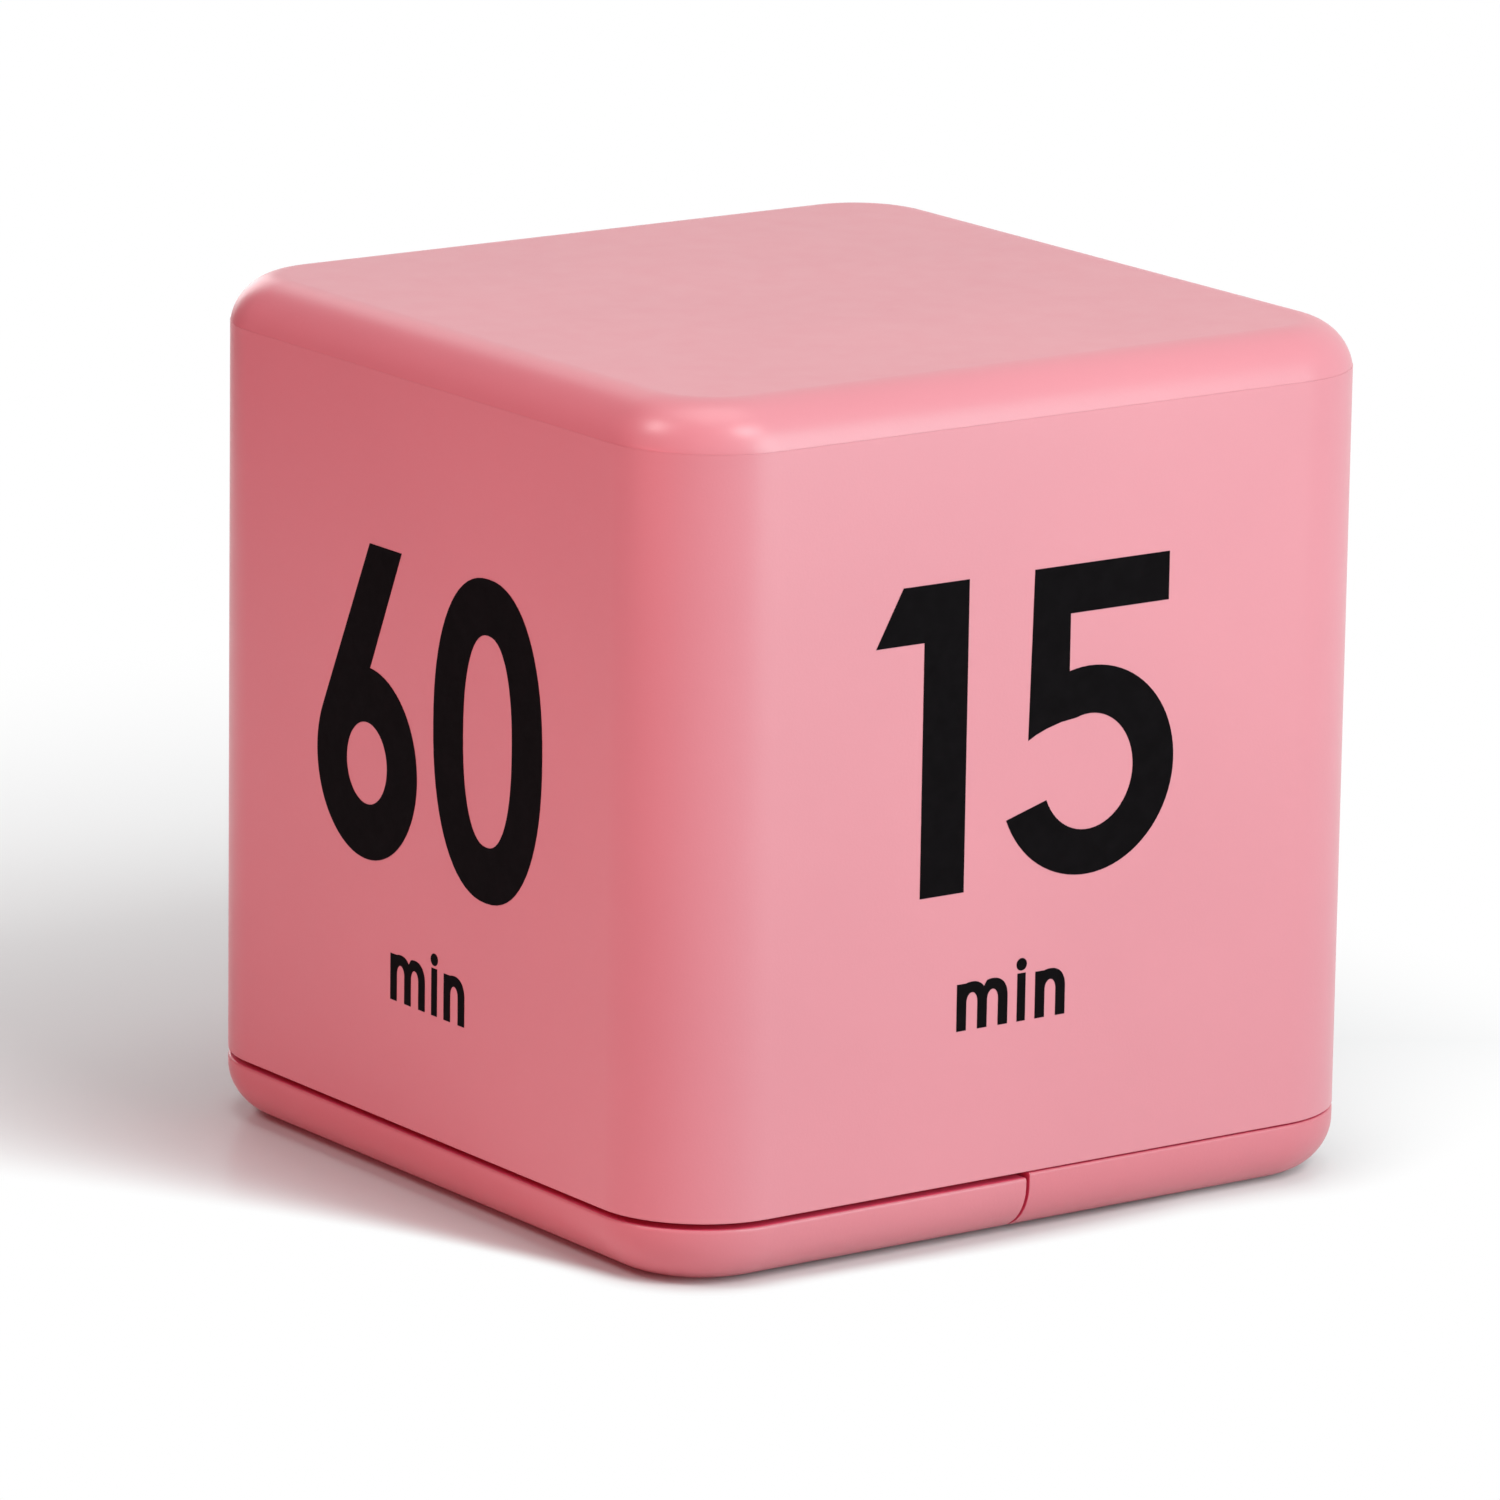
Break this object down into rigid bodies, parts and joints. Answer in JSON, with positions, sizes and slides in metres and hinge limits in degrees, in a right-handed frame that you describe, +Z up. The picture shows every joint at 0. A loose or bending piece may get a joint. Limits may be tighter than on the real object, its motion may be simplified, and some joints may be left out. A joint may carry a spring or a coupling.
{
  "type": "cube timer",
  "caption": "Cube timer with a number of minutes on each upright face, a sliding battery door and a display and power switch in its base.",
  "frame": {"origin": "middle of the underside that the cube stands on", "axes": "+Z up, -Y out of the face numbered 15, -X out of the face numbered 60"},
  "size_m": [0.0636, 0.0636, 0.0635],
  "materials": {
    "pink_plastic": "satin moulded plastic",
    "clear_plastic": "clear acrylic",
    "black_plastic": "satin",
    "white_plastic": "satin",
    "display_glass": "grey-green liquid crystal display",
    "contact_rubber": "matt striped rubber",
    "board_laminate": "green solder mask",
    "black_resin": "epoxy",
    "nickel": "nickel plate",
    "steel": "plain",
    "brass": "plain",
    "ceramic": "silvered ceramic",
    "cell_sleeve": "printed sleeve over steel, with the weight of a dry cell",
    "capacitor_sleeve": "shrink sleeve",
    "ferrite": "matt",
    "red_insulation": "satin",
    "black_insulation": "satin"
  },
  "bodies": {
    "cube": {"body_shell": "pink_plastic", "top_cover": "pink_plastic", "base_cover": "pink_plastic", "display_window": "clear_plastic", "lcd_front_glass": "display_glass", "lcd_rear_glass": "display_glass", "lcd_holder": "white_plastic", "contact_strip": "contact_rubber", "switch_housing": "nickel", "circuit_board": "board_laminate", "chip_cover": "black_resin", "crystal_can": "nickel", "capacitor": "capacitor_sleeve", "buzzer_coil": "ferrite", "piezo_disc": "brass", "piezo_ceramic": "ceramic", "piezo_wire_red": "red_insulation", "piezo_wire_black": "black_insulation", "tilt_can_1": "nickel", "tilt_can_2": "nickel", "tilt_can_3": "nickel", "tilt_can_4": "nickel", "tilt_base_1": "black_resin", "tilt_base_2": "black_resin", "tilt_base_3": "black_resin", "tilt_base_4": "black_resin", "battery_1": "cell_sleeve", "battery_2": "cell_sleeve", "negative_contact": "nickel", "positive_contact": "nickel", "bridge_contact": "nickel", "battery_lead_black": "black_insulation", "battery_lead_red": "red_insulation", "case_screw_1": "steel", "case_screw_2": "steel", "board_screw_1": "steel", "board_screw_2": "steel", "board_screw_3": "steel"},
    "door": {"battery_door": "pink_plastic"},
    "power_switch": {"switch_knob": "black_plastic", "switch_lever": "black_resin"},
    "ball_1": {"tilt_ball_1": "steel"},
    "ball_2": {"tilt_ball_2": "steel"},
    "ball_3": {"tilt_ball_3": "steel"},
    "ball_4": {"tilt_ball_4": "steel"}
  },
  "joints": [
    {"name": "door_slide", "type": "slide", "parent": "cube", "child": "door", "axis": [-1, 0, 0], "range_m": [0, 0.034]},
    {"name": "power_slide", "type": "slide", "parent": "cube", "child": "power_switch", "axis": [0, 1, 0], "range_m": [0, 0.002]},
    {"name": "ball_1_roll", "type": "slide", "parent": "cube", "child": "ball_1", "axis": [0.9848, 0, 0.1736], "range_m": [0, 0.00235]},
    {"name": "ball_2_roll", "type": "slide", "parent": "cube", "child": "ball_2", "axis": [0, 0.9848, 0.1736], "range_m": [0, 0.00235]},
    {"name": "ball_3_roll", "type": "slide", "parent": "cube", "child": "ball_3", "axis": [-0.9848, 0, 0.1736], "range_m": [0, 0.00235]},
    {"name": "ball_4_roll", "type": "slide", "parent": "cube", "child": "ball_4", "axis": [0, -0.9848, 0.1736], "range_m": [0, 0.00235]}
  ]
}
